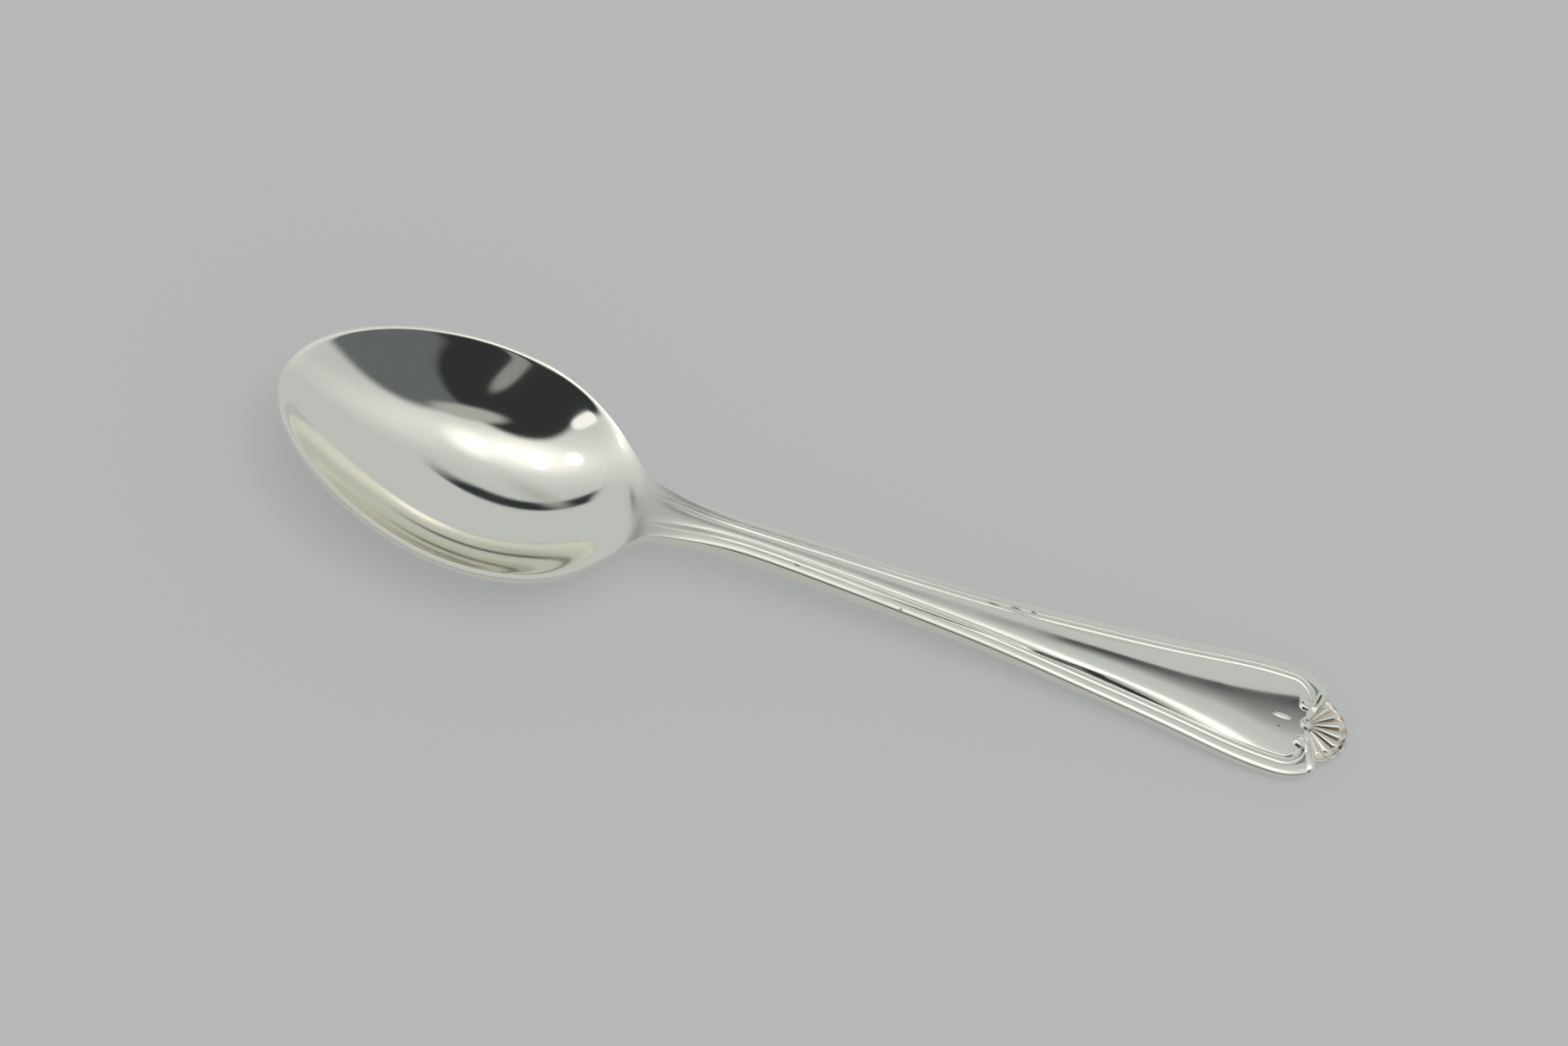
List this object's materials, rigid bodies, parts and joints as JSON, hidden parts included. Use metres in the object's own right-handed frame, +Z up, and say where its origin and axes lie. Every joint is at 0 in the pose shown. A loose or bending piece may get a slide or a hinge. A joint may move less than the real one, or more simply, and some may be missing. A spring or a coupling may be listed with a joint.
{
  "type": "teaspoon",
  "caption": "Silver-plated teaspoon with a pointed oval bowl and a flared handle edged with a thread, ending in two volutes and a fluted shell.",
  "frame": {"origin": "centre of the spoon's length and width, on the table it lies on", "axes": "+X from the bowl's tip to the shell's tip, +Y across the spoon, +Z up out of the hollow"},
  "size_m": [0.138, 0.0302, 0.0132],
  "materials": {
    "silver_plate": "mirror-polished silver plate on nickel silver, with fine wear marks and a faint warm tarnish in the shell's recesses"
  },
  "bodies": {
    "root": {"bowl": "silver_plate", "stem": "silver_plate", "shell_end": "silver_plate"}
  },
  "joints": []
}
